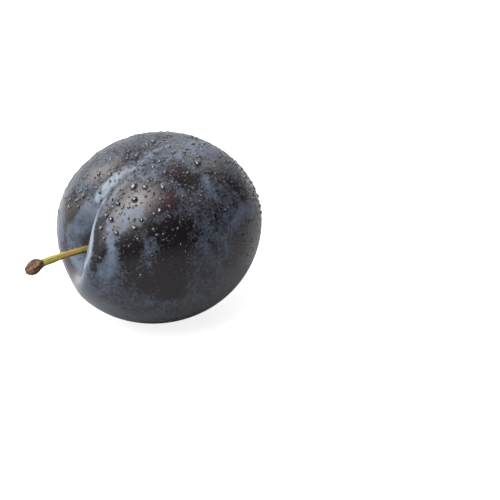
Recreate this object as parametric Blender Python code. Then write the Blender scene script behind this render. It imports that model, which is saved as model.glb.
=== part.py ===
"""A whole dark plum with its stalk, lying on its side as it rests on a table.

The fruit grew as one piece, so it is one solid: a sphere primitive whose points are moved to the
plum's outline, with the stalk's hollow at one end, the long crease down one cheek and the small
pistil scar at the other end. The stalk is a second solid that stands in a plain socket at the
bottom of the hollow.

World frame: +Z up, the table is z = 0, and the origin is the centre of the flat spot that the
plum rests on. The stalk points along -X.
"""

import math

import bmesh
import bpy
from mathutils import Matrix, Vector

MM = 0.001

# Driving sizes of the fruit, in its own frame: +Z towards the stalk, +X towards the crease.
CHEEK_RADIUS = 26.0 * MM
STALK_END_REACH = 29.7 * MM
SCAR_END_REACH = 28.6 * MM
POINT_RISE = 2.2 * MM
POINT_SPREAD = 13.5 * MM

# The hollow round the stalk: steep on the fuller cheek (-Y), wider on the other and towards the crease.
HOLLOW_DEPTH = 10.0 * MM
HOLLOW_SPREAD_FULLER_SIDE = 5.0 * MM
HOLLOW_SPREAD_OTHER_SIDE = 9.0 * MM
HOLLOW_STEEPNESS = 2.0
HOLLOW_STRETCH = 0.4
SIDE_BLEND = 4.0 * MM
SHOULDER_RISE = 2.8 * MM
SHOULDER_X = 0.0 * MM
SHOULDER_Y = -8.5 * MM
SHOULDER_SPREAD = 11.0 * MM

SCAR_DEPTH = 0.8 * MM
SCAR_SPREAD = 2.6 * MM

# The crease: deepest and widest beside the hollow, fading along the cheek, where it swerves a little.
CREASE_START = 4.0 * MM
CREASE_DEPTH_AT_STALK = 4.4 * MM
CREASE_DEPTH_AT_SCAR = 0.2 * MM
CREASE_FADE_ANGLE = 0.87
CREASE_FADE_POWER = 1.5
CREASE_WIDTH_AT_STALK = 3.5 * MM
CREASE_WIDTH_AT_SCAR = 1.9 * MM
CREASE_BOTTOM_RADIUS = 0.5 * MM
CREASE_TURN_AT_STALK = -0.05
CREASE_TURN_AT_SCAR = 0.11
CREASE_SWERVE_MIDDLE = 1.3
CREASE_SWERVE_SPAN = 0.22

# The sphere's meridians crowd towards the crease, and its rings towards the hollow and the scar.
MERIDIANS = 72
RINGS = 56
MERIDIAN_CROWDING = 0.55
RING_CROWDING_AT_STALK = 0.25
RING_CROWDING_AT_ENDS = 0.15

# How the plum lies: rolled a little about its own length, and pressed flat where it touches.
ROLL = math.radians(11.0)
FLAT_SPOT_RADIUS = 5.0 * MM

# The stalk, from its root in the socket to the woody knob where it broke from the twig.
STALK_LENGTH = 22.4 * MM
STALK_RADIUS = 0.8 * MM
ROOT_RADIUS = 1.15 * MM
ROOT_FLARE = 2.0 * MM
STALK_THICKENING = 0.28 * MM
KNOB_RADIUS = 1.93 * MM
KNOB_TIP_RADIUS = 1.1 * MM
KNOB_LENGTH = 4.8 * MM
KNOB_WIDEST = 0.48
KNOB_BLUNTNESS = 3
STALK_BOW = 0.45 * MM
STALK_SAG = 0.9 * MM
STALK_SAG_POWER = 6
STALK_POINTS = 36
SOCKET_DEPTH = 1.6 * MM
FIT_GAP = 0.3 * MM

SKIN_COLOUR = (0.035, 0.018, 0.030, 1.0)
STALK_COLOUR = (0.33, 0.30, 0.07, 1.0)


def clear_scene():
    """Removes whatever the start-up file holds."""
    for obj in list(bpy.data.objects):
        bpy.data.objects.remove(obj, do_unlink=True)


def new_collection(name):
    """Adds a collection to the scene."""
    collection = bpy.data.collections.new(name)
    bpy.context.scene.collection.children.link(collection)
    return collection


def new_material(name, colour, roughness):
    """A Principled material with one colour."""
    material = bpy.data.materials.new(name)
    material.use_nodes = True
    shader = material.node_tree.nodes["Principled BSDF"]
    shader.inputs["Base Color"].default_value = colour
    shader.inputs["Roughness"].default_value = roughness
    shader.inputs["Metallic"].default_value = 0.0
    return material


def side_share(distance):
    """Blends smoothly from 0 on the negative side of the axis to 1 on the positive side."""
    return 0.5 + 0.5 * math.tanh(distance / SIDE_BLEND)


def hollow_depth(x, y):
    """How deep the stalk's hollow lies under the rounded end, for a place across the fruit."""
    spread = HOLLOW_SPREAD_FULLER_SIDE
    spread += (HOLLOW_SPREAD_OTHER_SIDE - HOLLOW_SPREAD_FULLER_SIDE) * side_share(y)
    stretched = math.hypot(x / (1.0 + HOLLOW_STRETCH * side_share(x)), y)
    return HOLLOW_DEPTH * math.exp(-((stretched / spread) ** HOLLOW_STEEPNESS))


def shoulder_rise(x, y):
    """How much the fuller cheek swells beside the hollow, where it folds over the stalk's root."""
    distance = math.hypot(x - SHOULDER_X, y - SHOULDER_Y)
    return SHOULDER_RISE * math.exp(-((distance / SHOULDER_SPREAD) ** 2))


def axial_height(x, y, along):
    """Height of the skin above the fruit's middle, for a place across it and the cosine along its axis."""
    if along < 0.0:
        across = math.hypot(x, y)
        dimple = SCAR_DEPTH * math.exp(-((across / SCAR_SPREAD) ** 2))
        point = POINT_RISE * math.exp(-((across / POINT_SPREAD) ** 2))
        return (SCAR_END_REACH + point) * along + dimple
    return (STALK_END_REACH + shoulder_rise(x, y)) * along - hollow_depth(x, y)


def crease_depth(polar, x, y):
    """How far the long crease cuts in, for a place on the skin.

    It runs down one cheek with a slight swerve, from the stalk's hollow where it is deepest to the
    scar, and its walls are two curves that meet in a narrow rounded bottom.
    """
    if x <= 0.0:
        return 0.0
    fade = math.exp(-((polar / CREASE_FADE_ANGLE) ** CREASE_FADE_POWER))
    depth = CREASE_DEPTH_AT_SCAR + (CREASE_DEPTH_AT_STALK - CREASE_DEPTH_AT_SCAR) * fade
    width = CREASE_WIDTH_AT_SCAR + (CREASE_WIDTH_AT_STALK - CREASE_WIDTH_AT_SCAR) * fade
    swerved = 0.5 + 0.5 * math.tanh((polar - CREASE_SWERVE_MIDDLE) / CREASE_SWERVE_SPAN)
    line = CREASE_TURN_AT_STALK + (CREASE_TURN_AT_SCAR - CREASE_TURN_AT_STALK) * swerved
    aside = y * math.cos(line) - x * math.sin(line)
    aside = math.hypot(aside, CREASE_BOTTOM_RADIUS) - CREASE_BOTTOM_RADIUS
    start = 1.0 - math.exp(-((x / CREASE_START) ** 2))
    return depth * start * math.exp(-aside / width)


def skin_point(polar, turn):
    """A point on the skin: polar runs from the stalk end to the scar, and turn goes round from the crease."""
    x = CHEEK_RADIUS * math.sin(polar) * math.cos(turn)
    y = CHEEK_RADIUS * math.sin(polar) * math.sin(turn)
    point = Vector((x, y, axial_height(x, y, math.cos(polar))))
    outward = Vector((math.sin(polar) * math.cos(turn), math.sin(polar) * math.sin(turn), math.cos(polar)))
    return point - outward * crease_depth(polar, x, y)


def fruit_height():
    """How high the fruit's middle lies over the table, once its flat spot is pressed in."""
    return math.sqrt(CHEEK_RADIUS**2 - FLAT_SPOT_RADIUS**2)


def make_fruit(collection, lying, skin):
    """The fruit: a sphere primitive moved point by point to the plum's skin."""
    mesh = bpy.data.meshes.new("fruit")
    shape = bmesh.new()
    bmesh.ops.create_uvsphere(shape, u_segments=MERIDIANS, v_segments=RINGS, radius=1.0)
    for vertex in shape.verts:
        polar = math.acos(max(-1.0, min(1.0, vertex.co.z)))
        polar -= RING_CROWDING_AT_STALK * math.sin(polar) + RING_CROWDING_AT_ENDS * math.sin(2.0 * polar)
        turn = math.atan2(vertex.co.y, vertex.co.x)
        turn -= MERIDIAN_CROWDING * math.sin(turn)
        vertex.co = skin_point(polar, turn)
    bmesh.ops.recalc_face_normals(shape, faces=shape.faces)
    shape.to_mesh(mesh)
    shape.free()
    mesh.shade_smooth()
    mesh.materials.append(skin)
    fruit = bpy.data.objects.new("fruit", mesh)
    fruit.parent = lying
    fruit.rotation_euler = (0.0, math.radians(-90.0), 0.0)
    collection.objects.link(fruit)
    return fruit


def stalk_radius(along):
    """The stalk's radius at a share of its length: flared root, slim shaft, blunt woody knob."""
    from_root = along * STALK_LENGTH
    from_tip = STALK_LENGTH - from_root
    radius = STALK_RADIUS + (ROOT_RADIUS - STALK_RADIUS) * math.exp(-from_root / ROOT_FLARE)
    radius += STALK_THICKENING * along**2
    share = 1.0 - from_tip / KNOB_LENGTH
    if share < 0.0:
        return radius
    if share < KNOB_WIDEST:
        swell = math.sin(0.5 * math.pi * share / KNOB_WIDEST) ** 2
        return radius + (KNOB_RADIUS - radius) * swell
    taper = (share - KNOB_WIDEST) / (1.0 - KNOB_WIDEST)
    return KNOB_RADIUS + (KNOB_TIP_RADIUS - KNOB_RADIUS) * taper**KNOB_BLUNTNESS


def make_stalk(collection, lying, bark):
    """The stalk: one curve with a round section, rooted in the socket, bowed a little, its knob sagging."""
    root = axial_height(0.0, 0.0, 1.0) - SOCKET_DEPTH + FIT_GAP
    curve = bpy.data.curves.new("stalk", "CURVE")
    curve.dimensions = "3D"
    curve.bevel_depth = 1.0
    curve.bevel_resolution = 4
    curve.use_fill_caps = True
    spline = curve.splines.new("POLY")
    spline.points.add(STALK_POINTS - 1)
    for index, point in enumerate(spline.points):
        along = index / (STALK_POINTS - 1)
        bow = STALK_BOW * math.sin(math.pi * along)
        sag = STALK_SAG * along**STALK_SAG_POWER
        point.co = (bow - sag, 0.0, root + along * STALK_LENGTH, 1.0)
        point.radius = stalk_radius(along)
    curve.materials.append(bark)
    stalk = bpy.data.objects.new("stalk", curve)
    stalk.parent = lying
    stalk.rotation_euler = (0.0, math.radians(-90.0), 0.0)
    collection.objects.link(stalk)
    return stalk


def make_cutter(collection, name, mesh_maker):
    """A helper solid that a Boolean takes away, left out of the render."""
    mesh = bpy.data.meshes.new(name)
    shape = bmesh.new()
    mesh_maker(shape)
    shape.to_mesh(mesh)
    shape.free()
    cutter = bpy.data.objects.new(name, mesh)
    cutter.hide_render = True
    cutter.display_type = "WIRE"
    collection.objects.link(cutter)
    return cutter


def cut(target, cutter):
    """Takes the cutter away from the target."""
    boolean = target.modifiers.new(cutter.name, "BOOLEAN")
    boolean.operation = "DIFFERENCE"
    boolean.object = cutter


def make_table_cutter(collection):
    """A slab under the table's top, which leaves the flat spot."""

    def slab(shape):
        bmesh.ops.create_cube(shape, size=4.0 * CHEEK_RADIUS)
        bmesh.ops.translate(shape, verts=shape.verts, vec=(0.0, 0.0, -2.0 * CHEEK_RADIUS))

    return make_cutter(collection, "table_cutter", slab)


def make_socket_cutter(collection, lying):
    """A plain round hole for the stalk's root, a fit gap wider than the root."""
    floor = axial_height(0.0, 0.0, 1.0)
    length = 4.0 * MM

    def plug(shape):
        bmesh.ops.create_cone(
            shape,
            cap_ends=True,
            segments=24,
            radius1=ROOT_RADIUS + FIT_GAP,
            radius2=ROOT_RADIUS + FIT_GAP,
            depth=length,
            matrix=Matrix.Translation((0.0, 0.0, floor - SOCKET_DEPTH + length / 2.0)),
        )

    cutter = make_cutter(collection, "socket_cutter", plug)
    cutter.parent = lying
    cutter.rotation_euler = (0.0, math.radians(-90.0), 0.0)
    return cutter


def main():
    """Builds the plum."""
    clear_scene()
    plum = new_collection("plum")
    cutters = new_collection("cutters")
    lying = bpy.data.objects.new("lying", None)
    lying.location = (0.0, 0.0, fruit_height())
    lying.rotation_euler = (ROLL, 0.0, 0.0)
    plum.objects.link(lying)

    fruit = make_fruit(plum, lying, new_material("skin", SKIN_COLOUR, 0.38))
    make_stalk(plum, lying, new_material("stalk", STALK_COLOUR, 0.6))
    cut(fruit, make_table_cutter(cutters))
    cut(fruit, make_socket_cutter(cutters, lying))


main()
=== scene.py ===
"""Dresses the plum: waxy dark skin with its bloom, the stalk with its woody knob, and the water drops.

Everything is in metres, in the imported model's frame: the table is z = 0, the stalk points along -X
and the crease lies on top. A place on the skin is given by two angles in radians: its polar angle
from the stalk end, and its turn round the fruit's axis, from the crease.
"""

import logging
import math
from dataclasses import dataclass
from enum import Enum
from typing import Callable, Sequence

import bpy
import numpy as np
from mathutils import Euler, Matrix, Vector


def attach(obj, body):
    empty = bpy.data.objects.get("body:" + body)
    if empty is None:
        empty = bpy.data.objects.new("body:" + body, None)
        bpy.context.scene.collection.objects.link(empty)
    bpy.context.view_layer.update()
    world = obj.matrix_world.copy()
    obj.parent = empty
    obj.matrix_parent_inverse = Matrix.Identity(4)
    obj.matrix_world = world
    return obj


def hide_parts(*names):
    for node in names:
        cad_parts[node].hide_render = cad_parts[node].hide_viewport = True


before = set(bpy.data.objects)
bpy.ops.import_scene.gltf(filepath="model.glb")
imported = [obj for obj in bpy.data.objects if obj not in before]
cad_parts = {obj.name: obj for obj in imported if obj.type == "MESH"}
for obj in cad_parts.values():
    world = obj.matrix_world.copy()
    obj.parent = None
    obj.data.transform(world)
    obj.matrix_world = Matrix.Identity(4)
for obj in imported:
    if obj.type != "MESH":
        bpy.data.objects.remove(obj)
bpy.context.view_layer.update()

MM = 0.001
FULL_TURN = 2.0 * math.pi
LARGE_DROP_RADIUS = 0.24 * MM
log = logging.getLogger("plum")

Array = np.ndarray
Colour = tuple[float, float, float, float]
Triple = tuple[float, float, float]
Faces = list[tuple[int, ...]]
Socket = bpy.types.NodeSocket


def smoothstep(low: float, high: float, value: Array) -> Array:
    """Rises smoothly from 0 where the value is low to 1 where it is high."""
    share = np.clip((value - low) / (high - low), 0.0, 1.0)
    return share * share * (3.0 - 2.0 * share)


def rise(value: Array) -> Array:
    """Rises smoothly from 0 far below zero to 1 far above it."""
    return 0.5 + 0.5 * np.tanh(value)


def blend(first: float | Array, second: float | Array, share: Array) -> Array:
    """Goes from the first value to the second as the share goes from 0 to 1."""
    return first + (second - first) * share


def bell(distance: Array, spread: float | Array) -> Array:
    """Falls smoothly from 1 at no distance to nothing well beyond the spread."""
    return np.exp(-((distance / spread) ** 2))


def aside(turn: Array, middle: float | Array) -> Array:
    """How far apart two turns are, the short way round."""
    return np.abs(np.mod(turn - middle + math.pi, FULL_TURN) - math.pi)


def directions(polar: Array, turn: Array) -> Array:
    """Unit vectors out of the fruit's middle, one per row."""
    return np.stack([np.sin(polar) * np.cos(turn), np.sin(polar) * np.sin(turn), np.cos(polar)], axis=1)


def flipped(faces: Faces) -> Faces:
    """The same faces, turned to the other side."""
    return [(face[0], *face[:0:-1]) for face in faces]


def fan(sides: int, first: int, apex: int) -> Faces:
    """Triangles from the ring of vertices that starts at one number to a single vertex."""
    return [(first + side, first + (side + 1) % sides, apex) for side in range(sides)]


def bands(rings: int, sides: int, first: int = 0) -> Faces:
    """Quads between rings of vertices that follow each other.

    Args:
        rings: The number of rings.
        sides: The number of vertices in each.
        first: The first ring's first vertex.

    Returns:
        The faces.
    """
    faces: Faces = []
    for low in range(first, first + (rings - 1) * sides, sides):
        for side in range(sides):
            after = (side + 1) % sides
            faces.append((low + side, low + after, low + sides + after, low + sides + side))
    return faces


def tube(rings: int, sides: int, first: int, start: int, end: int) -> Faces:
    """The faces of rings that close in a single vertex at the start and another at the end."""
    last = first + (rings - 1) * sides
    return flipped(fan(sides, first, start)) + fan(sides, last, end) + bands(rings, sides, first)


class StrokeKind(Enum):
    """What a stroke on the skin shows, including painted sheen, reflection and shade."""

    BLOOM = "bloom"
    THICK = "thick bloom"
    RUBBED_AND_SHADED = "rubbed_and_shaded"
    BLUSH = "blush"


@dataclass(frozen=True)
class SkinStroke:
    """One soft-edged stroke on the skin: its half-width as an angle, and its path's places."""

    width: float
    strength: float
    path: Array

    def over(self, outward: Array) -> Array:
        """How strongly the stroke covers each direction.

        Args:
            outward: Unit vectors out of the fruit's middle.

        Returns:
            The cover, from 0 to the stroke's strength.
        """
        corners = directions(*self.path.T)
        nearest = np.full(len(outward), np.inf)
        for start, end in zip(corners[:-1], corners[1:]):
            along = end - start
            share = np.clip((outward - start) @ along / (along @ along), 0.0, 1.0)
            nearest = np.minimum(nearest, np.linalg.norm(outward - start - share[:, None] * along, axis=1))
        return self.strength * bell(nearest, self.width)


@dataclass(frozen=True)
class Drop:
    """One water drop: its place on the skin, its radius and how long it is for its width."""

    polar: float
    turn: float
    radius: float
    stretch: float


@dataclass(frozen=True)
class FruitForm:
    """The plum's outline in its own frame: +Z towards the stalk, +X towards the crease."""

    cheek_radius: float = 26.0 * MM
    stalk_end_reach: float = 29.7 * MM
    scar_end_reach: float = 28.6 * MM
    point_rise: float = 2.2 * MM
    point_spread: float = 13.5 * MM
    hollow_depth: float = 10.0 * MM
    hollow_spread_on_fuller_cheek: float = 5.0 * MM
    hollow_spread_on_other_cheek: float = 9.0 * MM
    hollow_stretch: float = 0.4
    side_blend: float = 4.0 * MM
    shoulder_rise: float = 2.8 * MM
    shoulder_y: float = -8.5 * MM
    shoulder_spread: float = 11.0 * MM
    scar_depth: float = 0.8 * MM
    scar_spread: float = 2.6 * MM
    crease_start: float = 4.0 * MM
    crease_depth_at_stalk: float = 4.4 * MM
    crease_depth_at_scar: float = 0.2 * MM
    crease_fade_angle: float = 0.87
    crease_fade_power: float = 1.5
    crease_width_at_stalk: float = 3.5 * MM
    crease_width_at_scar: float = 1.9 * MM
    crease_bottom_radius: float = 0.5 * MM
    crease_turn_at_stalk: float = -0.05
    crease_turn_at_scar: float = 0.11
    crease_swerve_middle: float = 1.3
    crease_swerve_span: float = 0.22
    roll: float = math.radians(11.0)
    flat_spot_radius: float = 5.0 * MM
    normal_step: float = 0.004

    @property
    def middle_height(self) -> float:
        """How high the fruit's middle lies over the table."""
        return math.sqrt(self.cheek_radius**2 - self.flat_spot_radius**2)

    def to_table(self, points: Array) -> Array:
        """Moves points from the fruit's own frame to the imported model's, pressed flat on the table.

        Args:
            points: Points in the fruit's own frame, one per row.

        Returns:
            The same points over the table.
        """
        tip_over = Euler((0.0, math.radians(-90.0), 0.0)).to_matrix().to_4x4()
        lift = Matrix.Translation((0.0, 0.0, self.middle_height))
        matrix = np.array(lift @ Matrix.Rotation(self.roll, 4, "X") @ tip_over)
        moved = points @ matrix[:3, :3].T + matrix[:3, 3]
        moved[:, 2] = np.maximum(moved[:, 2], 0.0)
        return moved

    def _hollow_spread(self, y: Array) -> Array:
        """How wide the stalk's hollow is, at distances across the crease."""
        share = rise(y / self.side_blend)
        return blend(self.hollow_spread_on_fuller_cheek, self.hollow_spread_on_other_cheek, share)

    def _hollow(self, x: Array, y: Array) -> Array:
        """How deep the hollow lies under the rounded end."""
        stretched = np.hypot(x / (1.0 + self.hollow_stretch * rise(x / self.side_blend)), y)
        return self.hollow_depth * bell(stretched, self._hollow_spread(y))

    def _stalk_end(self, x: Array, y: Array, along: Array) -> Array:
        """How high the skin lies on the stalk's side of the fruit's middle."""
        shoulder = self.shoulder_rise * bell(np.hypot(x, y - self.shoulder_y), self.shoulder_spread)
        return (self.stalk_end_reach + shoulder) * along - self._hollow(x, y)

    def _scar_end(self, across: Array, along: Array) -> Array:
        """How high it lies on the scar's side, as a negative number."""
        reach = self.scar_end_reach + self.point_rise * bell(across, self.point_spread)
        return reach * along + self.scar_depth * bell(across, self.scar_spread)

    def _crease_depth(self, polar: Array, x: Array, y: Array) -> Array:
        """How far the crease cuts in.

        Args:
            polar: Angles from the stalk end.
            x: Distances from the axis towards the crease.
            y: Distances from the axis across the crease.

        Returns:
            The depths.
        """
        fade = np.exp(-((polar / self.crease_fade_angle) ** self.crease_fade_power))
        depth = blend(self.crease_depth_at_scar, self.crease_depth_at_stalk, fade)
        width = blend(self.crease_width_at_scar, self.crease_width_at_stalk, fade)
        swerved = rise((polar - self.crease_swerve_middle) / self.crease_swerve_span)
        line = blend(self.crease_turn_at_stalk, self.crease_turn_at_scar, swerved)
        across = y * np.cos(line) - x * np.sin(line)
        away = np.hypot(across, self.crease_bottom_radius) - self.crease_bottom_radius
        start = 1.0 - bell(x, self.crease_start)
        return np.where(x > 0.0, depth * start * np.exp(-away / width), 0.0)

    def skin(self, polar: Array, turn: Array) -> Array:
        """Points on the skin, in the fruit's own frame.

        Args:
            polar: Angles from the stalk end.
            turn: Angles round the axis, from the crease.

        Returns:
            One point per row.
        """
        outward = directions(polar, turn)
        x, y = self.cheek_radius * outward[:, 0], self.cheek_radius * outward[:, 1]
        along = np.cos(polar)
        height = np.where(along < 0.0, self._scar_end(np.hypot(x, y), along), self._stalk_end(x, y, along))
        return np.stack([x, y, height], axis=1) - outward * self._crease_depth(polar, x, y)[:, None]

    def place(self, polar: Array, turn: Array) -> tuple[Array, Array]:
        """Points over the table with the skin's outward normals there.

        Args:
            polar: Angles from the stalk end.
            turn: Angles round the axis, from the crease.

        Returns:
            The points and their unit normals, one per row.
        """
        step = self.normal_step
        along = self.to_table(self.skin(polar + step, turn)) - self.to_table(self.skin(polar - step, turn))
        around = self.to_table(self.skin(polar, turn + step)) - self.to_table(self.skin(polar, turn - step))
        normal = np.cross(along, around)
        normal /= np.linalg.norm(normal, axis=1, keepdims=True) + 1e-12
        return self.to_table(self.skin(polar, turn)), normal

    def under(self, drops: Sequence[Drop]) -> tuple[Array, Array]:
        """The points under drops, and the skin's normals there."""
        return self.place(np.array([drop.polar for drop in drops]), np.array([drop.turn for drop in drops]))


def add_piece(
    name: str, points: Array, faces: Faces, layers: dict[str, Array], material: bpy.types.Material
) -> bpy.types.Object:
    """Puts a mesh into the scene as a named piece that rides on the plum's body.

    Args:
        name: The piece's name.
        points: Its vertices, one per row.
        faces: Its faces.
        layers: By name, what its material reads: one number per vertex.
        material: Its material.

    Returns:
        The new object.
    """
    mesh = bpy.data.meshes.new(name)
    mesh.from_pydata(points.tolist(), [], faces)
    for layer, values in layers.items():
        stored = mesh.attributes.new(layer, "FLOAT", "POINT")
        stored.data.foreach_set("value", np.asarray(values, np.float32))
    mesh.materials.append(material)
    mesh.shade_smooth()
    piece = bpy.data.objects.new(name, mesh)
    bpy.context.scene.collection.objects.link(piece)
    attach(piece, "root")
    return piece


class NodeTree:
    """Short ways to add and join shader nodes in a material, a group or the world."""

    def __init__(self, tree: bpy.types.NodeTree) -> None:
        """Keeps the tree that the nodes go into."""
        self.tree = tree

    def feed(self, node: bpy.types.Node, name: str, value: object) -> None:
        """Links an output to a node's input, or sets a plain value on it.

        Args:
            node: The node.
            name: The input's number, or its name with _ for each space.
            value: The output or the value.
        """
        socket = node.inputs[int(name) if name.isdigit() else name.replace("_", " ")]
        if isinstance(value, Socket):
            self.tree.links.new(value, socket)
        else:
            socket.default_value = value

    def fill(self, node: bpy.types.Node, **values: object) -> None:
        """Feeds several of a node's inputs."""
        for name, value in values.items():
            self.feed(node, name, value)

    def add(self, kind: str, **values: object) -> bpy.types.Node:
        """Adds a node and sets its properties and inputs.

        Args:
            kind: The node's type name.
            values: Properties by name, and inputs as in_ and their number or name.

        Returns:
            The new node.
        """
        node = self.tree.nodes.new(kind)
        for key, value in values.items():
            if key.startswith("in_"):
                self.feed(node, key[3:], value)
            else:
                setattr(node, key, value)
        return node

    def maths(self, operation: str, *values: object, clamp: bool = False) -> Socket:
        """A Math node's output for one, two or three inputs."""
        inputs = {f"in_{index}": value for index, value in enumerate(values)}
        return self.add("ShaderNodeMath", operation=operation, use_clamp=clamp, **inputs).outputs[0]

    def total(self, start: float | Socket, *terms: tuple[Socket, float]) -> Socket:
        """Adds values times their weights to a start.

        Args:
            start: What the sum starts from.
            terms: Each value with its weight.

        Returns:
            The sum.
        """
        for value, weight in terms:
            start = self.maths("MULTIPLY_ADD", value, weight, start)
        return start

    def without(self, value: Socket) -> Socket:
        """One minus a value."""
        return self.maths("SUBTRACT", 1.0, value)

    def mix(self, share: object, first: object, second: object) -> Socket:
        """A colour mix's output: first where share is 0, second where it is 1."""
        return self.add("ShaderNodeMix", data_type="RGBA", in_0=share, in_6=first, in_7=second).outputs[2]

    def step(self, value: Socket, low: object, high: object) -> Socket:
        """Maps low..high smoothly to 0..1."""
        span = {"in_Value": value, "in_From_Min": low, "in_From_Max": high}
        return self.add("ShaderNodeMapRange", interpolation_type="SMOOTHSTEP", **span).outputs["Result"]

    def along(self, place: Socket, direction: Triple) -> Socket:
        """How far a place lies along a direction."""
        product = self.add("ShaderNodeVectorMath", operation="DOT_PRODUCT", in_0=place, in_1=direction)
        return product.outputs["Value"]

    def attribute(self, name: str) -> Socket:
        """The value stored on the mesh under a name."""
        return self.add("ShaderNodeAttribute", attribute_name=name).outputs["Fac"]

    def seen(self) -> Socket:
        """1 where the camera looks straight at a place, and 0 in reflections."""
        return self.add("ShaderNodeLightPath").outputs["Is Camera Ray"]

    def millimetres(self) -> Socket:
        """The piece's own coordinates, in millimetres."""
        place = self.add("ShaderNodeTexCoord").outputs["Object"]
        return self.add("ShaderNodeVectorMath", operation="SCALE", in_0=place, in_Scale=1.0 / MM).outputs[0]

    def squeezed(self, place: Socket, scale: Triple, rotation: Triple = (0.0, 0.0, 0.0)) -> Socket:
        """Coordinates turned and scaled, so that mottling on them is drawn out along one way."""
        mapping = self.add("ShaderNodeMapping", in_Vector=place, in_Rotation=rotation, in_Scale=scale)
        return mapping.outputs["Vector"]

    def mottle(
        self, place: Socket, size: float, warp: float, low: float, high: float
    ) -> tuple[Socket, Socket]:
        """Places the shared mottling.

        Args:
            place: Coordinates in millimetres.
            size: A patch's size in millimetres.
            warp: How much the patches are stirred.
            low: The noise value where a patch starts.
            high: The noise value where it is full.

        Returns:
            The patches and the fine grain.
        """
        node = self.add("ShaderNodeGroup", node_tree=bpy.data.node_groups[MottleGroup.name])
        self.fill(node, Place=place, Patch_Size=size, Warp=warp, Low=low, High=high)
        return node.outputs["Patches"], node.outputs["Grain"]


@dataclass(frozen=True)
class MottleGroup:
    """The shader group that all materials share: soft-edged natural mottling with a fine grain."""

    name: str = "natural_mottle"
    roughness: float = 0.62
    fineness: float = 9.0

    def build(self) -> None:
        """Builds the group: Place, Patch Size, Warp, Low and High in, Patches and Grain out."""
        group = bpy.data.node_groups.new(self.name, "ShaderNodeTree")
        group.interface.new_socket(name="Place", in_out="INPUT", socket_type="NodeSocketVector")
        numbers = {"INPUT": ("Patch Size", "Warp", "Low", "High"), "OUTPUT": ("Patches", "Grain")}
        for way, sockets in numbers.items():
            for socket in sockets:
                group.interface.new_socket(name=socket, in_out=way, socket_type="NodeSocketFloat")
        nodes = NodeTree(group)
        given = nodes.add("NodeGroupInput").outputs
        scale = nodes.maths("DIVIDE", 1.0, given["Patch Size"])
        coarse = nodes.add("ShaderNodeTexNoise", in_Vector=given["Place"], in_Scale=scale, in_Detail=6.0)
        nodes.fill(coarse, Roughness=self.roughness, Distortion=given["Warp"])
        fine_scale = nodes.maths("MULTIPLY", scale, self.fineness)
        fine = nodes.add("ShaderNodeTexNoise", in_Vector=given["Place"], in_Scale=fine_scale, in_Detail=3.0)
        patches = nodes.step(coarse.outputs[0], given["Low"], given["High"])
        nodes.add("NodeGroupOutput", in_Patches=patches, in_Grain=fine.outputs[0])


def new_material(name: str) -> tuple[bpy.types.Material, NodeTree, bpy.types.Node]:
    """A node material, a helper for its tree, and its Principled shader.

    Args:
        name: The material's name.

    Returns:
        All three.
    """
    material = bpy.data.materials.new(name)
    material.use_nodes = True
    return material, NodeTree(material.node_tree), material.node_tree.nodes["Principled BSDF"]


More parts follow.
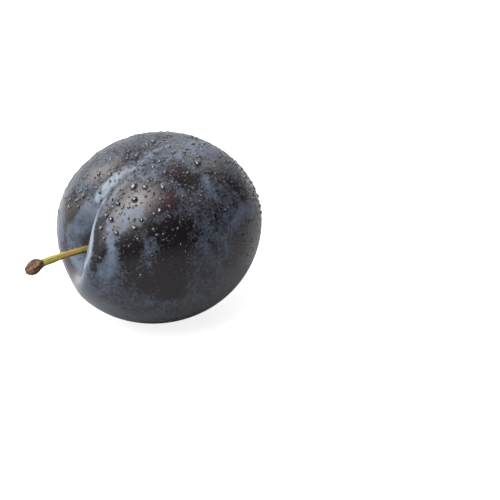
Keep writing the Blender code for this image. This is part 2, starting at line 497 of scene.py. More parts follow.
@dataclass(frozen=True)
class SkinFinish:
    """Near-black purple skin under blue-grey waxy bloom, rubbed off in places, with painted shade and
    sheen.
    """

    dark: Colour = (0.0030, 0.0026, 0.0036, 1.0)
    purple: Colour = (0.0098, 0.0068, 0.0094, 1.0)
    maroon: Colour = (0.036, 0.0095, 0.0145, 1.0)
    bloom: Colour = (0.097, 0.130, 0.182, 1.0)
    pale_bloom_and_lip_sheen: Colour = (0.22, 0.272, 0.292, 1.0)
    speck: Colour = (0.085, 0.058, 0.052, 1.0)
    sheen_tint: Colour = (0.90, 0.94, 1.0, 1.0)
    speck_spacing: float = 1.25
    patch_share: float = 0.26
    smear_share: float = 0.26
    spot_share: float = 0.32
    grain_share: float = 0.50
    wax_threshold: float = 0.665
    hollow_shade_and_wet_darkness: float = 0.85
    gap_darkness: float = 0.42
    bare_roughness: float = 0.22
    bloom_roughness: float = 0.55
    grain_roughness: float = 0.08
    grain_height: float = 0.03 * MM

    def material(self) -> bpy.types.Material:
        """Builds the skin's material.

        Returns:
            The material.
        """
        material, nodes, shader = new_material("plum_skin")
        place = nodes.millimetres()
        patches, grain = nodes.mottle(place, 5.0, 0.8, 0.28, 0.74)
        down_cheek = nodes.squeezed(place, (1.3, 1.0, 0.42), (0.25, 0.35, 0.6))
        smears, _ = nodes.mottle(down_cheek, 2.3, 0.6, 0.28, 0.74)
        spots, spot_grain = nodes.mottle(place, 0.8, 0.2, 0.34, 0.68)
        dull = nodes.attribute("dull")

        uneven = ((patches, self.patch_share), (smears, self.smear_share), (spots, self.spot_share))
        # The bloom layer includes some painted sheen, and painted shade where the rubbed strokes take bloom
        # away.
        even = nodes.total(-self.wax_threshold, (nodes.attribute("bloom"), 1.0))
        wax = nodes.step(nodes.total(even, *uneven, (grain, self.grain_share)), 0.0, 1.0)
        bare = nodes.mix(spots, self.dark, self.purple)
        blush = nodes.maths("MULTIPLY", nodes.attribute("blush"), smears, clamp=True)
        bare = nodes.mix(blush, bare, self.maroon)
        bare = nodes.mix(self._specks(nodes, place), bare, self.speck)
        # Thick pale bloom in the crease and along the hollow's lip, where it is partly a painted
        # reflection.
        thick = nodes.maths("MULTIPLY", nodes.attribute("thick"), wax, clamp=True)
        colour = nodes.mix(wax, bare, nodes.mix(thick, self.bloom, self.pale_bloom_and_lip_sheen))
        # Painted shade darkens the bottom of the stalk's hollow; the same mask darkens the wet skin under
        # the drops.
        colour = nodes.mix(nodes.maths("MULTIPLY", dull, self.hollow_shade_and_wet_darkness), colour, self.dark)
        gaps = nodes.maths("MULTIPLY", nodes.without(nodes.step(spot_grain, 0.30, 0.62)), self.gap_darkness)
        colour = nodes.mix(gaps, colour, self.dark)

        waxy_rise = self.bloom_roughness - self.bare_roughness
        rough = nodes.total(self.bare_roughness, (wax, waxy_rise), (spot_grain, self.grain_roughness))
        rough = nodes.maths("MAXIMUM", rough, dull)
        height = nodes.total(0.0, (wax, 0.4), (spots, 0.5), (grain, 0.6))
        bump = nodes.add("ShaderNodeBump", in_Height=height, in_Distance=self.grain_height, in_Strength=0.8)
        nodes.fill(shader, Base_Color=colour, Roughness=rough, Normal=bump.outputs["Normal"], IOR=1.46)
        nodes.fill(shader, Sheen_Weight=0.12, Sheen_Roughness=0.35, Sheen_Tint=self.sheen_tint)
        return material

    def _specks(self, nodes: NodeTree, place: Socket) -> Socket:
        """Where the skin's pale pores are.

        Args:
            nodes: The material's nodes.
            place: Coordinates in millimetres.

        Returns:
            1 in a pore and 0 beside it.
        """
        pores = nodes.add("ShaderNodeTexVoronoi", in_Vector=place, in_Scale=1.0 / self.speck_spacing)
        parts = nodes.add("ShaderNodeSeparateColor", in_Color=pores.outputs["Color"])
        inside = nodes.without(nodes.step(pores.outputs["Distance"], 0.06, 0.16))
        return nodes.maths("MULTIPLY", inside, nodes.step(parts.outputs[0], 0.3, 0.9))


@dataclass(frozen=True)
class StalkFinish:
    """Yellow-green shaft with brown tinges, and a rough brown knob."""

    green: Colour = (0.235, 0.228, 0.036, 1.0)
    dark_green: Colour = (0.060, 0.085, 0.014, 1.0)
    tinge: Colour = (0.300, 0.130, 0.025, 1.0)
    knob: Colour = (0.072, 0.041, 0.021, 1.0)
    knob_highlight: Colour = (0.200, 0.098, 0.042, 1.0)
    knob_dark: Colour = (0.034, 0.019, 0.011, 1.0)
    roughness: float = 0.48
    knob_roughness_rise: float = 0.36
    grain_height: float = 0.15 * MM

    def material(self) -> bpy.types.Material:
        """Builds the stalk's material.

        Returns:
            The material.
        """
        material, nodes, shader = new_material("plum_stalk")
        place = nodes.millimetres()
        streaks, streak_grain = nodes.mottle(nodes.squeezed(place, (0.16, 1.0, 1.0)), 1.1, 0.3, 0.34, 0.66)
        pits, _ = nodes.mottle(place, 0.7, 0.4, 0.38, 0.62)
        along, knob = nodes.attribute("along"), nodes.attribute("knob")

        green = nodes.mix(nodes.step(along, 0.08, 0.50), self.dark_green, self.green)
        near_knob = nodes.step(along, 0.5, 0.78)
        middle = nodes.maths("MULTIPLY", nodes.step(along, 0.15, 0.4), nodes.without(near_knob))
        tinged = nodes.maths("MULTIPLY", streaks, nodes.total(0.18, (middle, 0.7)))
        shaft = nodes.mix(tinged, green, self.tinge)
        ridge = nodes.total(nodes.attribute("ridge"), (pits, 0.22))
        # Darker where the knob's surface sinks, and paler on its raised ridges near the tip, which is
        # painted highlight.
        woody = nodes.mix(nodes.step(ridge, -0.10, 0.10), self.knob_dark, self.knob)
        ridge_highlight = nodes.maths("MULTIPLY", nodes.step(ridge, 0.08, 0.26), nodes.step(along, 0.80, 0.92))
        colour = nodes.mix(knob, shaft, nodes.mix(ridge_highlight, woody, self.knob_highlight))

        rough = nodes.total(self.roughness, (knob, self.knob_roughness_rise))
        height = nodes.maths("ADD", streak_grain, pits)
        bump = nodes.add("ShaderNodeBump", in_Height=height, in_Distance=self.grain_height, in_Strength=0.7)
        nodes.fill(shader, Base_Color=colour, Roughness=rough, Normal=bump.outputs["Normal"])
        return material


@dataclass(frozen=True)
class WaterFinish:
    """Clear water tinted grey, darker in larger drops: painted shade that makes drops look dark on dark
    skin.
    """

    small: Colour = (0.72, 0.73, 0.76, 1.0)
    large: Colour = (0.40, 0.39, 0.41, 1.0)
    index: float = 1.333
    glint: float = 0.23
    glint_rise: float = 0.62
    ripple: float = 0.03

    def material(self) -> bpy.types.Material:
        """Builds the water's material.

        Returns:
            The material.
        """
        material, nodes, shader = new_material("water")
        ripples, _ = nodes.mottle(nodes.millimetres(), 2.0, 0.0, 0.2, 0.8)
        large = nodes.attribute("large")
        # The grey tint, darker in the larger drops, is painted shade that makes them look dark on the skin.
        nodes.fill(shader, Base_Color=nodes.mix(large, self.small, self.large), Transmission_Weight=1.0)
        nodes.fill(shader, Roughness=nodes.maths("MULTIPLY", ripples, self.ripple))
        nodes.fill(shader, Specular_IOR_Level=1.0, IOR=self.index)
        glint = nodes.total(self.glint, (large, self.glint_rise))
        nodes.fill(shader, Coat_Weight=glint, Coat_IOR=1.65, Coat_Roughness=0.06)
        return material


@dataclass
class Fruit:
    """The fruit's skin, with what its material needs to know about each place on it."""

    form: FruitForm
    drops: Sequence[Drop]
    strokes: dict[StrokeKind, Sequence[SkinStroke]]
    meridians: int = 280
    rings: int = 200
    meridian_crowding: float = 0.55
    ring_crowding_at_stalk: float = 0.25
    ring_crowding_at_ends: float = 0.15
    even_bloom: float = 0.34
    hollow_bloom: float = 0.11
    wetness: float = 0.9
    wet_thick_bloom: float = 0.7

    def _angles(self) -> tuple[Array, Array]:
        """Spreads the vertices, closer together at the stalk and beside the crease.

        Returns:
            Polar and turn of the stalk-end pole, the rings, then the scar-end pole.
        """
        rings = np.linspace(0.0, math.pi, self.rings + 1)[1:-1]
        crowding = self.ring_crowding_at_stalk * np.sin(rings)
        crowding += self.ring_crowding_at_ends * np.sin(2.0 * rings)
        turns = np.linspace(-math.pi, math.pi, self.meridians, endpoint=False)
        turns = turns - self.meridian_crowding * np.sin(turns)
        polar, turn = np.meshgrid(rings - crowding, turns, indexing="ij")
        polar = np.concatenate([[0.0], polar.ravel(), [math.pi]])
        return polar, np.concatenate([[0.0], turn.ravel(), [0.0]])

    def _spread(self, kind: StrokeKind, outward: Array) -> Array:
        """Lays the strokes of one kind over each other on the skin.

        Args:
            kind: The kind.
            outward: Unit vectors out of the fruit's middle.

        Returns:
            The cover, from 0 to 1.
        """
        bare = np.ones(len(outward))
        for stroke in self.strokes[kind]:
            bare *= 1.0 - stroke.over(outward)
        return 1.0 - bare

    def _wet(self, points: Array) -> Array:
        """How wet each place is.

        Args:
            points: Points on the skin, one per row.

        Returns:
            1 under the larger drops, and 0 on dry skin.
        """
        large = [drop for drop in self.drops if drop.radius > LARGE_DROP_RADIUS]
        wet = np.zeros(len(points))
        for drop, middle in zip(large, self.form.under(large)[0]):
            near = np.flatnonzero(np.abs(points[:, 0] - middle[0]) < 2.0 * drop.radius)
            away = np.linalg.norm(points[near] - middle, axis=1) / drop.radius
            wet[near] = np.maximum(wet[near], 1.0 - smoothstep(0.75, 1.15, away))
        return wet

    def _layers(self, points: Array, polar: Array, turn: Array) -> dict[str, Array]:
        """What the material reads at each place.

        Args:
            points: Points on the skin, one per row.
            polar: Their angles from the stalk end.
            turn: Their angles round the axis.

        Returns:
            How much bloom (partly painted sheen, thinned by rubbed skin and painted shade), thick bloom
            (partly painted reflection on the lip) and red blush there is, and where painted shade darkens
            the hollow's bottom and wetness darkens the skin under the drops.
        """
        outward = directions(polar, turn)
        in_hollow = 1.0 - smoothstep(0.30, 0.46, polar - 0.10 * np.clip(np.cos(turn), 0.0, 1.0))
        # Bloom strokes include painted sheen, thick ones painted reflection along the lip, rubbed ones
        # painted shade.
        thick, added_bloom_and_sheen, rubbed_and_shaded, blush = (
            self._spread(kind, outward)
            for kind in (StrokeKind.THICK, StrokeKind.BLOOM, StrokeKind.RUBBED_AND_SHADED, StrokeKind.BLUSH)
        )
        bloom = self.even_bloom + self.hollow_bloom * in_hollow + thick + added_bloom_and_sheen - rubbed_and_shaded
        wet = self.wetness * self._wet(points)
        bloom *= 1.0 - wet * (1.0 - self.wet_thick_bloom * thick)
        # Painted shade at the bottom of the stalk's hollow, joined with the wet skin under the drops: it
        # darkens the colour and roughens the skin.
        dull = np.maximum(1.0 - smoothstep(0.13, 0.24, polar), wet)
        return {"bloom": bloom, "thick": thick, "dull": dull, "blush": blush}

    def build(self) -> bpy.types.Object:
        """Builds and dresses the skin.

        Returns:
            The skin's object.
        """
        polar, turn = self._angles()
        points = self.form.to_table(self.form.skin(polar, turn))
        faces = flipped(tube(self.rings - 1, self.meridians, 1, 0, len(points) - 1))
        layers = self._layers(points, polar, turn)
        skin = add_piece("plum_skin", points, faces, layers, SkinFinish().material())
        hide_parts("fruit")
        return skin


@dataclass
class Stalk:
    """The stalk: flared root, slim ridged shaft and a blunt faceted knob."""

    form: FruitForm
    length: float = 22.4 * MM
    shaft_radius: float = 0.8 * MM
    root_radius: float = 1.15 * MM
    root_flare: float = 2.0 * MM
    thickening: float = 0.28 * MM
    knob_radius: float = 1.93 * MM
    knob_tip_radius: float = 1.1 * MM
    knob_length: float = 4.8 * MM
    knob_widest: float = 0.48
    knob_bluntness: int = 3
    bow: float = 0.45 * MM
    sag: float = 0.9 * MM
    sag_power: int = 6
    socket_depth: float = 1.6 * MM
    fit_gap: float = 0.3 * MM
    knob_facets: int = 5
    facet_strength: float = 0.75
    knob_ribs: int = 7
    ripples: int = 16
    rings: int = 170
    ring_crowding: float = 0.8
    sides: int = 56
    seed: int = 11
    # each bump's share of the knob's length, its turn and its size
    bumps: tuple[Triple, ...] = (
        (0.84, 0.4, 0.16), (0.80, 3.4, 0.12), (0.86, 5.0, 0.10), (0.34, 2.2, 0.13), (0.42, 5.6, 0.10)
    )
    # each groove's share of the knob's length, its depth and its width
    grooves: tuple[Triple, ...] = ((0.10, 0.14, 0.05), (0.36, 0.10, 0.05), (0.70, 0.09, 0.04))

    def _knob_share(self, along: Array) -> Array:
        """Where along the knob a share of the stalk's length is: below 0 on the shaft, 1 at the tip."""
        return 1.0 - (1.0 - along) * self.length / self.knob_length

    def _radius(self, along: Array) -> Array:
        """The plain round radius.

        Args:
            along: Shares of the stalk's length.

        Returns:
            The radii.
        """
        radius = blend(self.shaft_radius, self.root_radius, np.exp(-along * self.length / self.root_flare))
        radius = radius + self.thickening * along**2
        share = self._knob_share(along)
        swell = np.sin(0.5 * math.pi * np.clip(share / self.knob_widest, 0.0, 1.0)) ** 2
        taper = np.clip((share - self.knob_widest) / (1.0 - self.knob_widest), 0.0, 1.0)
        tapered = blend(self.knob_radius, self.knob_tip_radius, taper**self.knob_bluntness)
        return np.where(share < self.knob_widest, blend(radius, self.knob_radius, swell), tapered)

    def _shaft_relief(self, along: Array, turn: Array) -> Array:
        """Low ridges along the shaft and uneven knots on it, as shares of the radius.

        Args:
            along: Shares of the stalk's length.
            turn: Angles round it.

        Returns:
            The relief.
        """
        relief = 0.05 * np.cos(5.0 * turn + 2.0 * along) + 0.03 * np.cos(9.0 * turn - 5.0 * along + 1.0)
        relief += 0.05 * np.sin(17.0 * along + np.cos(turn)) * np.cos(turn + 9.0 * along)
        relief += 0.04 * np.sin(41.0 * along + 2.0 * np.cos(turn + 1.0))
        return relief + 0.03 * np.sin(9.0 * along + 1.0)

    def _knob_relief(self, share: Array, turn: Array) -> Array:
        """The knob's facets, bumps, ribs, ripples and grooves, as shares of the radius.

        Args:
            share: Shares of the knob's length.
            turn: Angles round it.

        Returns:
            The relief.
        """
        rng = np.random.default_rng(self.seed)
        facet = FULL_TURN / self.knob_facets
        turned = np.mod(turn + 0.5 * share + 0.4, facet) - 0.5 * facet
        relief = self.facet_strength * (math.cos(0.5 * facet) / np.cos(turned) * 1.10 - 1.0) - 0.04
        for place, side, size in self.bumps:
            relief += size * bell(aside(turn, side), 0.5) * bell(share - place, 0.10)
        for place in np.linspace(0.0, FULL_TURN, self.knob_ribs, endpoint=False):
            middle = place + rng.uniform(-0.25, 0.25) + 0.5 * (share - 0.5) * rng.uniform(0.4, 1.6)
            relief += rng.uniform(0.05, 0.13) * np.exp(-aside(turn, middle) / rng.uniform(0.12, 0.24))
        for _ in range(self.ripples):
            waves = rng.integers(1, 8)
            pace = rng.uniform(4.0, 18.0)
            phase = rng.uniform(0.0, FULL_TURN, size=2)
            ripple = np.cos(waves * turn + phase[0]) * np.cos(pace * share + phase[1])
            relief += rng.uniform(0.008, 0.022) * ripple
        for place, depth, width in self.grooves:
            wavy = share - place - 0.04 * np.cos(2.0 * turn + 20.0 * place)
            relief -= depth * bell(wavy, width) * (0.6 + 0.4 * np.cos(3.0 * turn + 9.0 * place))
        return relief

    def _line(self, along: Array) -> Array:
        """The middle line in the fruit's own frame.

        Args:
            along: Shares of the stalk's length.

        Returns:
            One point per row.
        """
        floor = self.form.skin(np.array([0.0]), np.array([0.0]))[0, 2]
        root = floor - self.socket_depth + self.fit_gap
        x = self.bow * np.sin(math.pi * along) - self.sag * along**self.sag_power
        return np.stack([x, np.zeros_like(along), root + along * self.length], axis=-1)

    def build(self) -> bpy.types.Object:
        """Builds and dresses the stalk.

        Returns:
            The stalk's object.
        """
        shares = np.linspace(0.0, 1.0, self.rings) ** self.ring_crowding
        turns = np.linspace(0.0, FULL_TURN, self.sides, endpoint=False)
        along, turn = (grid.ravel() for grid in np.meshgrid(shares, turns, indexing="ij"))
        share = self._knob_share(along)
        onto_knob = smoothstep(-0.05, 0.25, share)
        relief = blend(self._shaft_relief(along, turn), self._knob_relief(share, turn), onto_knob)
        radius = self._radius(along) * (1.0 + relief)
        points = self._line(along)
        points[:, 0] += radius * np.cos(turn)
        points[:, 1] += radius * np.sin(turn)
        ends = np.array([0.0, 1.0])
        points = self.form.to_table(np.concatenate([points, self._line(ends)]))
        along = np.concatenate([along, ends])
        knob = smoothstep(-0.02, 0.14, self._knob_share(along))
        layers = {"along": along, "knob": knob, "ridge": np.concatenate([relief, [0.0, 0.0]])}
        faces = tube(self.rings, self.sides, 0, len(points) - 2, len(points) - 1)
        stalk = add_piece("plum_stalk", points, faces, layers, StalkFinish().material())
        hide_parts("stalk")
        return stalk


@dataclass(frozen=True)
class Sprinkle:
    """One layer of random drops: how many, their radii in millimetres, and how far down they reach."""

    count: int
    smallest: float
    largest: float
    lowest_normal: float


@dataclass
class WaterDrops:
    """All the water on the skin, as one piece of closed, lens-shaped drops."""

    form: FruitForm
    placed: Sequence[Drop]
    beads: Sprinkle = Sprinkle(1100, 0.25, 0.50, -0.05)
    mist: Sprinkle = Sprinkle(2300, 0.13, 0.26, -0.30)
    swelling: float = 1.12
    spacing: float = 1.15
    tries: int = 4
    height: float = 0.84
    sunk: float = 0.09 * MM
    skirt: float = 0.96
    seed: int = 5

    def scatter(self) -> list[Drop]:
        """Lists the placed drops, then random beads and mist where the skin faces up and no drop is near.

        Returns:
            All the drops.
        """
        rng = np.random.default_rng(self.seed)
        drops = [Drop(d.polar, d.turn, d.radius * self.swelling, d.stretch) for d in self.placed]
        taken = list(self.form.under(drops)[0])
        reaches = [drop.radius * drop.stretch for drop in drops]
        for layer in (self.beads, self.mist):
            tried = layer.count * self.tries
            polar = np.arccos(rng.uniform(-1.0, 1.0, tried))
            turn = rng.uniform(-math.pi, math.pi, tried)
            radius = (layer.smallest + (layer.largest - layer.smallest) * rng.power(0.45, tried)) * MM
            points, normals = self.form.place(polar, turn)
            chance = smoothstep(layer.lowest_normal, layer.lowest_normal + 0.75, normals[:, 2])
            chance *= smoothstep(0.42, 0.62, polar)
            made = 0
            for index in np.flatnonzero(rng.uniform(0.0, 1.0, tried) < chance):
                if made >= layer.count:
                    break
                away = np.linalg.norm(np.array(taken) - points[index], axis=1)
                if np.any(away < np.array(reaches) * self.spacing + radius[index]):
                    continue
                drops.append(Drop(polar[index], turn[index], radius[index], rng.uniform(1.0, 1.25)))
                taken.append(points[index])
                reaches.append(radius[index])
                made += 1
        return drops

    def _cap(self, sides: int, rings: int) -> tuple[Array, Faces]:
        """A unit drop, closed underneath.

        Args:
            sides: Vertices round it.
            rings: Rings from its edge to its top.

        Returns:
            The vertices, one per row, with a height of 1 and a skirt at -1, and the faces.
        """
        heights = [0.5 * math.pi * ring / rings for ring in range(rings)]
        rows = [(self.skirt, -1.0)] + [(math.cos(height), math.sin(height)) for height in heights]
        turns = [FULL_TURN * side / sides for side in range(sides)]
        rim = [(math.cos(turn), math.sin(turn)) for turn in turns]
        points = [(across * x, across * y, up) for across, up in rows for x, y in rim]
        bottom = tuple(reversed(range(sides)))
        faces = [bottom, *bands(len(rows), sides), *fan(sides, len(points) - sides, len(points))]
        return np.array([*points, (0.0, 0.0, 1.0)]), faces

    def _shape(self, unit: Array, drop: Drop, middle: Array, normal: Array, phase: Array) -> Array:
        """One drop's vertices: a unit drop wobbled, stretched downhill and set on the skin.

        Args:
            unit: The unit drop's vertices.
            drop: The drop.
            middle: The point on the skin under it.
            normal: The skin's normal there.
            phase: Two angles that make its wobble its own.

        Returns:
            One point per row.
        """
        down = np.array([0.0, 0.0, -1.0]) - normal * -normal[2]
        down = down / (np.linalg.norm(down) + 1e-9)
        angle = np.arctan2(unit[:, 1], unit[:, 0])
        wobble = 1.0 + 0.07 * np.cos(2.0 * angle + phase[0]) + 0.04 * np.cos(3.0 * angle + phase[1])
        flat = unit[:, :2] * wobble[:, None] * drop.radius
        up = np.where(unit[:, 2] > 0.0, unit[:, 2] * drop.radius * self.height, unit[:, 2] * self.sunk)
        placed = middle + flat[:, :1] * drop.stretch * down + flat[:, 1:] * np.cross(normal, down)
        return placed + up[:, None] * normal

    def build(self, drops: Sequence[Drop]) -> bpy.types.Object:
        """Builds and dresses the drops.

        Args:
            drops: The drops.

        Returns:
            The drops' object.
        """
        rng = np.random.default_rng(self.seed + 1)
        caps = {True: self._cap(16, 5), False: self._cap(7, 2)}
        points: list[Array] = []
        sizes: list[Array] = []
        faces: Faces = []
        count = 0
        for drop, middle, normal in zip(drops, *self.form.under(drops)):
            unit, unit_faces = caps[drop.radius > LARGE_DROP_RADIUS]
            points.append(self._shape(unit, drop, middle, normal, rng.uniform(0.0, FULL_TURN, 2)))
            sizes.append(np.full(len(unit), drop.radius))
            faces.extend(tuple(index + count for index in face) for face in unit_faces)
            count += len(unit)
        layers = {"large": smoothstep(0.28 * MM, 0.50 * MM, np.concatenate(sizes))}
        return add_piece("water_drops", np.concatenate(points), faces, layers, WaterFinish().material())


@dataclass(frozen=True)
class FloorFinish:
    """Plain white paper with a painted glow where it is seen, so that shadows on it stay light."""

    front: Colour = (0.27, 0.27, 0.27, 1.0)
    back: Colour = (0.90, 0.90, 0.90, 1.0)
    glow: float = 0.85
    backward: Triple = (-0.12, 0.99, 0.0)
    ramp: tuple[float, float] = (-10.0, 110.0)

    def material(self) -> bpy.types.Material:
        """Builds the floor's material, painted darker in front so that the fruit's underside stays dark.

        Returns:
            The material.
        """
        material, nodes, shader = new_material("studio_floor")
        place = nodes.millimetres()
        cloud, _ = nodes.mottle(place, 400.0, 0.0, 0.2, 0.8)
        # Painted shade: the floor is darker in front and lighter behind, for what the fruit reflects and
        # catches.
        share = nodes.total(nodes.step(nodes.along(place, self.backward), *self.ramp), (cloud, 0.06))
        nodes.fill(shader, Base_Color=nodes.mix(share, self.front, self.back))
        nodes.fill(shader, Roughness=0.9, Specular_IOR_Level=0.1)
        # Painted glow, seen only by the camera, that keeps shadows on the floor light.
        nodes.fill(shader, Emission_Strength=nodes.maths("MULTIPLY", nodes.seen(), self.glow))
        nodes.fill(shader, Emission_Color=(1.0, 1.0, 1.0, 1.0))
        return material


@dataclass(frozen=True)
class Softbox:
    """A square light that faces the plum: where it hangs in degrees and metres, its size and its watts."""

    name: str
    azimuth: float
    elevation: float
    distance: float
    size: float
    power: float


@dataclass
class Studio:
    """White floor, soft lights and the camera at the photograph's viewing angle."""

    form: FruitForm
    azimuth: float = -37.0
    elevation: float = 24.0
    lens: float = 100.0
    millimetres_per_pixel: float = 0.2742
    plum_pixel: tuple[float, float] = (159.8, 227.4)
    picture_pixels: int = 500
    sensor: float = 36.0
    clip_start: float = 0.01
    floor_size: float = 6.0
    floor_height: float = -0.1 * MM
    light_colour: Triple = (1.0, 0.945, 0.955)
    sky_colour: Colour = (0.89, 0.955, 1.0, 1.0)
    sky_brightest: Triple = (-0.38, 0.86, 0.34)
    sky_lowest: float = 0.03
    softboxes: tuple[Softbox, ...] = (
        Softbox("softbox", -74.0, 57.0, 0.55, 0.50, 5.1),
        Softbox("softbox_centre", -67.0, 59.0, 0.50, 0.16, 0.8),
        Softbox("back_softbox", -155.0, 40.0, 0.6, 0.34, 2.0),
        Softbox("left_softbox", -80.0, 38.0, 0.55, 0.24, 0.75),
        Softbox("right_fill", 112.0, 46.0, 0.7, 0.5, 1.6),
        Softbox("front_fill", 34.0, 44.0, 0.7, 0.3, 0.38),
    )

    def _away(self, azimuth: float, elevation: float) -> Vector:
        """The unit vector from the plum towards an azimuth and elevation, in degrees."""
        turn, lift = math.radians(azimuth), math.radians(elevation)
        return Vector((math.sin(turn) * math.cos(lift), -math.cos(turn) * math.cos(lift), math.sin(lift)))

    @property
    def _middle(self) -> Vector:
        """The fruit's middle."""
        return Vector((0.0, 0.0, self.form.middle_height))

    def camera(self) -> bpy.types.Object:
        """Places the camera so that the plum's middle is where the photograph has it.

        Returns:
            The camera.
        """
        data = bpy.data.cameras.new("camera")
        data.lens, data.sensor_width, data.clip_start = self.lens, self.sensor, self.clip_start
        camera = bpy.data.objects.new("camera", data)
        bpy.context.scene.collection.objects.link(camera)
        back = self._away(self.azimuth, self.elevation)
        distance = self.picture_pixels * self.millimetres_per_pixel * MM / (self.sensor / self.lens)
        half = 0.5 * self.picture_pixels
        per_pixel = self.sensor / self.picture_pixels / self.lens
        yaw = math.atan((self.plum_pixel[0] - half) * per_pixel)
        pitch = math.atan((half - self.plum_pixel[1]) * per_pixel)
        look = (-back).to_track_quat("-Z", "Y").to_matrix().to_4x4()
        turned = Matrix.Rotation(yaw, 4, "Y") @ Matrix.Rotation(-pitch, 4, "X")
        camera.matrix_world = Matrix.Translation(self._middle + back * distance) @ look @ turned
        bpy.context.scene.camera = camera
        return camera

    def lights(self) -> None:
        """Hangs the softboxes: strong ones high on the left, one behind, and weak fills on the right."""
        for box in self.softboxes:
            data = bpy.data.lights.new(box.name, "AREA")
            data.size, data.energy, data.color = box.size, box.power, self.light_colour
            light = bpy.data.objects.new(box.name, data)
            light.location = self._middle + self._away(box.azimuth, box.elevation) * box.distance
            light.rotation_euler = (self._middle - light.location).to_track_quat("-Z", "Y").to_euler()
            bpy.context.scene.collection.objects.link(light)

    def world(self) -> None:
        """White where the camera looks, and for reflections bright behind and dim in front."""
        world = bpy.data.worlds.new("studio")
        world.use_nodes = True
        nodes = NodeTree(world.node_tree)
        background = world.node_tree.nodes["Background"]
        direction = nodes.add("ShaderNodeTexCoord").outputs["Generated"]
        bright = nodes.step(nodes.along(direction, self.sky_brightest), -0.25, 0.85)
        nodes.fill(background, Color=self.sky_colour, Strength=nodes.total(self.sky_lowest, (bright, 1.0)))
        backdrop = nodes.add("ShaderNodeBackground", in_Color=(1.0, 1.0, 1.0, 1.0), in_Strength=1.0)
        chosen = nodes.add("ShaderNodeMixShader", in_0=nodes.seen())
        nodes.fill(chosen, **{"1": background.outputs[0], "2": backdrop.outputs[0]})
        nodes.fill(world.node_tree.nodes["World Output"], Surface=chosen.outputs[0])
        bpy.context.scene.world = world

    def floor(self) -> bpy.types.Object:
        """Lays the floor, a hair under the table's height.

        Returns:
            The floor's object.
        """
        half, low = 0.5 * self.floor_size, self.floor_height
        corners = [(-half, -half, low), (half, -half, low), (half, half, low), (-half, half, low)]
        mesh = bpy.data.meshes.new("floor")
        mesh.from_pydata(corners, [], [(0, 1, 2, 3)])
        mesh.materials.append(FloorFinish().material())
        floor = bpy.data.objects.new("floor", mesh)
        bpy.context.scene.collection.objects.link(floor)
        return floor


def strokes(*rows: tuple[int, ...]) -> tuple[SkinStroke, ...]:
    """Makes strokes: each row's width, its strength in percent, then its path's polar and turn angles.

    Args:
        rows: The rows, with angles and widths in thousandths of a radian.

    Returns:
        The strokes.
    """
    return tuple(
        SkinStroke(width / 1000.0, strength / 100.0, np.array(path).reshape(-1, 2) / 1000.0)
        for width, strength, *path in rows
    )


def placed(*rows: tuple[float, ...]) -> tuple[Drop, ...]:
    """Makes drops: each row's polar angle, turn, radius and, unless the drop is round, its stretch.

    Args:
        rows: The rows, with angles in thousandths of a radian and radii in millimetres.

    Returns:
        The drops.
    """
    return tuple(
        Drop(polar / 1000.0, turn / 1000.0, radius * MM, *(stretch or (1.0,)))
        for polar, turn, radius, *stretch in rows
    )


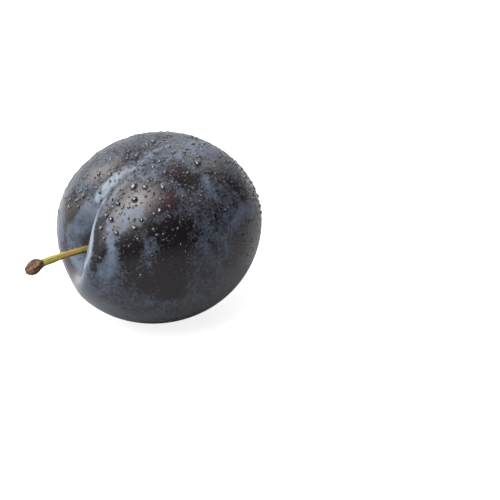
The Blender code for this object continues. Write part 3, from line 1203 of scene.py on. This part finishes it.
SKIN_STROKES: dict[StrokeKind, tuple[SkinStroke, ...]] = {
    # Thick bloom: the first stroke runs along the hollow's lip and is partly a painted reflection there;
    # the others follow the crease.
    StrokeKind.THICK: strokes(
        (22, 82, 711, -105, 598, -98, 530, -230, 474, -360, 432, -500, 412, -681, 384, -890, 362, -1073,
         332, -1230, 296, -1440), (27, 60, 651, 17, 720, 0, 815, 0, 893, 0, 988, 0, 1074, 9),
        (26, 64, 633, 75, 720, 84, 815, 56, 901, 52, 985, 46),
        (13, 45, 1083, -35, 1143, -35, 1204, -26, 1255, -26),
    ),
    # Bloom, the waxy coat; a few of these strokes are painted sheen where the softbox's reflection would
    # spread.
    StrokeKind.BLOOM: strokes(
        (42, 10, 530, -230, 432, -500, 384, -890, 332, -1230), (27, 50, 1316, 17, 1411, 26, 1497, 17),
        (32, 25, 1497, 17, 1636, 0, 1757, -52),
        (42, 30, 685, 52, 590, 166, 469, 384, 383, 681, 340, 1065, 340, 1475),
        (37, 20, 478, 244, 340, 532, 271, 1038, 296, 1719), (47, 32, 305, 2382, 271, 2705, 219, -2897),
        (23, 25, 348, 1632, 357, 1955, 331, 2339), (53, 16, 642, 550, 737, 358),
        (42, 14, 823, 803, 832, 550), (38, 42, 616, -654, 599, -873, 599, -1047, 599, -1257, 564, -1457),
        (34, 38, 849, -524, 789, -620, 754, -733, 694, -820), (44, 32, 867, -567, 910, -628, 884, -707),
        (20, 25, 970, -602, 1014, -620), (25, 22, 642, -1614, 564, -1737, 504, -2103),
        (32, 22, 331, -1693, 417, -1885, 512, -2007),
        (24, 20, 1048, -803, 1039, -908, 1057, -1038, 1109, -1134),
        (90, 20, 850, -1000, 927, -1065, 1010, -1100), (47, 24, 1877, 113, 1973, -44, 2068, -183),
        (37, 22, 348, 428, 227, 803, 227, 1143), (53, 22, 1757, 44, 1869, -44, 1990, -122),
        (53, 12, 763, -497, 858, -471), (37, 26, 651, -87, 512, 17, 322, 367), (47, 16, 711, 288, 780, 236),
        (74, 34, 383, -2251, 521, -2339, 668, -2313), (74, 20, 469, -1091, 530, -1396, 564, -1737),
        (27, 30, 504, 1274, 443, 1518, 426, 1824), (53, 26, 1748, -35, 1869, -131, 2024, -201),
        (42, 20, 677, -471, 737, -410), (53, 15, 1005, 768, 1152, 681, 1299, 593),
        (53, 26, 625, -995, 642, -1204, 625, -1405), (58, 16, 1100, -733, 1117, -820),
        (74, 18, 1134, -244, 1221, -288), (32, 22, 953, -1859, 1065, -1876, 1178, -1780),
        (27, 18, 737, -2391, 893, -2304, 1048, -2190), (25, 45, 1644, -515, 1627, -611),
        (38, 30, 1523, -262, 1532, -358), (25, 42, 1394, -192, 1446, -175),
        (44, 28, 1523, -175, 1584, -236), (53, 26, 1705, -131, 1826, -192, 1852, -305, 1713, -401),
        (25, 20, 1670, -663, 1662, -742), (160, 22, 1050, 950, 1250, 1350, 1300, 1800),
        (60, 35, 800, 1500, 1000, 1750, 1150, 2200), (45, 30, 1500, 1100, 1750, 1300, 1900, 1250),
        (200, 20, 1900, 2300, 1700, 2800), (110, 25, 1600, -2200, 1900, -2100, 2200, -2300),
        (70, 30, 1750, -1050, 2000, -950, 2250, -1000), (160, 25, 2450, 200, 2600, 1200),
        (100, 45, 3050, 0, 3100, 3100),
    ),
    # Rubbed skin where the bloom is worn off; some strokes are painted shade, along the right-hand side and
    # in valleys.
    StrokeKind.RUBBED_AND_SHADED: strokes(
        (19, 35, 391, 1361, 366, 1780, 366, 2164, 374, 2531), (42, 55, 417, 2435, 383, 2836, 314, -2409),
        (53, 90, 573, 707, 478, 794, 400, 1012), (42, 45, 512, 489, 452, 654),
        (95, 42, 780, 288, 901, 201, 1048, 122), (84, 42, 737, -384, 875, -375, 996, -393, 1143, -393),
        (63, 25, 1083, -515, 1031, -611), (36, 45, 530, -400, 462, -768, 436, -1038, 427, -1379),
        (34, 55, 582, -471, 556, -689, 530, -942, 487, -1178), (50, 25, 1031, -690, 1060, -700),
        (70, 30, 960, -1480, 1060, -1520), (79, 80, 754, -925, 798, -1038, 746, -1108),
        (58, 75, 953, -829, 988, -881), (90, 85, 1126, -908, 1109, -1030, 1143, -1108),
        (127, 32, 1238, -986, 1152, -1222, 1134, -1431), (63, 42, 1014, -681, 1100, -637),
        (53, 65, 1186, -585, 1221, -637), (63, 28, 1731, -384, 1852, -393),
        (84, 30, 1955, -646, 2102, -777), (53, 50, 1065, -1143, 1091, -1274, 1126, -1414),
        (47, 22, 590, 908, 487, 986), (32, 16, 832, 9, 849, -209, 919, -183),
        (42, 13, 720, 593, 893, 401, 1074, 314), (42, 13, 1255, 192, 1333, 122),
        (74, 45, 1065, -1196, 1109, -1344), (38, 30, 573, -489, 495, -716, 461, -934),
        (95, 58, 1091, -1274, 1109, -1492, 1126, -1702), (63, 20, 1705, -454, 1834, -497),
        (116, 28, 703, -1300, 815, -1484, 919, -1606), (69, 58, 1480, -332, 1463, -454, 1480, -559),
        (37, 25, 1368, -410, 1402, -532), (95, 14, 1325, -707, 1437, -759),
        (95, 10, 1869, -576, 1998, -689, 2059, -820), (55, 65, 1150, -640, 1230, -585),
        (37, 28, 1307, -358, 1376, -297), (53, 45, 746, -846, 754, -969, 772, -1073),
        (37, 40, 944, -838, 988, -873), (53, 45, 1117, -873, 1160, -960), (53, 40, 1169, -524, 1238, -681),
        (32, 25, 1005, -611, 1048, -689), (150, 35, 1350, 750, 1600, 800),
        (100, 50, 1000, 1250, 1120, 1500), (120, 40, 1650, 1750, 1550, 2150),
        (70, 55, 720, 2200, 900, 2500), (140, 40, 1250, -2500, 1400, -2900),
        (120, 40, 1900, -1300, 2150, -1600), (130, 40, 2350, -400, 2550, -900),
        (80, 40, 2750, 1900, 2800, 2600),
    ),
    StrokeKind.BLUSH: strokes(
        (74, 40, 1255, -297, 1299, -401), (95, 22, 806, 262, 1005, 192), (53, 60, 1186, -576, 1221, -637),
        (42, 85, 1307, -358, 1376, -297), (53, 95, 1160, -637, 1221, -593),
        (32, 60, 1454, -279, 1428, -332), (63, 30, 1031, -611, 1178, -497),
        (63, 50, 1178, -541, 1221, -646), (90, 60, 1450, 780, 1600, 900),
        (80, 50, 2100, -1500, 2200, -1700),
    ),
}

PLACED_DROPS: tuple[Drop, ...] = placed(
    (944, -445, 0.8, 1.1), (1005, -288, 0.82, 1.5), (1083, -375, 0.71), (798, -367, 0.66),
    (867, -497, 0.41), (815, -463, 0.36), (651, -419, 0.63), (677, -524, 0.69), (556, -559, 0.55),
    (677, -768, 0.6, 1.1), (841, -794, 0.71, 1.3), (1100, -698, 0.6, 1.4), (1221, -463, 0.6, 1.7),
    (1091, -436, 0.33), (1126, -489, 0.27), (893, -288, 0.36), (996, -358, 0.33), (919, 113, 0.6, 1.2),
    (867, 279, 0.49, 1.2), (720, 75, 0.52), (469, 585, 0.44), (495, 890, 0.44), (728, 183, 0.38),
    (746, 271, 0.33), (582, 419, 0.55, 1.5), (1238, 87, 0.6, 1.2), (1489, 183, 0.66, 1.6),
    (1152, 122, 0.44, 1.2), (988, 87, 0.36), (1662, -340, 0.88, 1.1), (1316, -323, 0.49),
    (1497, -419, 0.44), (1368, -515, 0.44), (1471, -593, 0.49), (1290, -620, 0.55, 1.2), (1342, -637, 0.49),
    (1515, -689, 0.44), (1523, -724, 0.38), (1394, -750, 0.44), (1532, -820, 0.49), (1480, -820, 0.38),
    (1195, -689, 0.38), (1350, -846, 0.44), (720, -1379, 0.44), (832, -1440, 0.41), (685, -890, 0.33),
    (936, -881, 0.38), (988, -986, 0.36), (841, -1239, 0.33),
)


def main() -> None:
    """Builds the studio and the plum's pieces in order."""
    logging.basicConfig(level=logging.INFO, format="%(name)s: %(message)s")
    MottleGroup().build()
    form = FruitForm()
    studio = Studio(form)
    studio.camera()
    studio.world()
    studio.lights()
    studio.floor()
    water = WaterDrops(form, PLACED_DROPS)
    drops = water.scatter()
    builders: tuple[Callable[[], bpy.types.Object], ...] = (
        Fruit(form, drops, SKIN_STROKES).build,
        Stalk(form).build,
        lambda: water.build(drops),
    )
    for build in builders:
        piece = build()
        log.info("%s: %d faces", piece.name, len(piece.data.polygons))
    bpy.context.scene.view_settings.view_transform = "Standard"


if __name__ == "__main__":
    main()
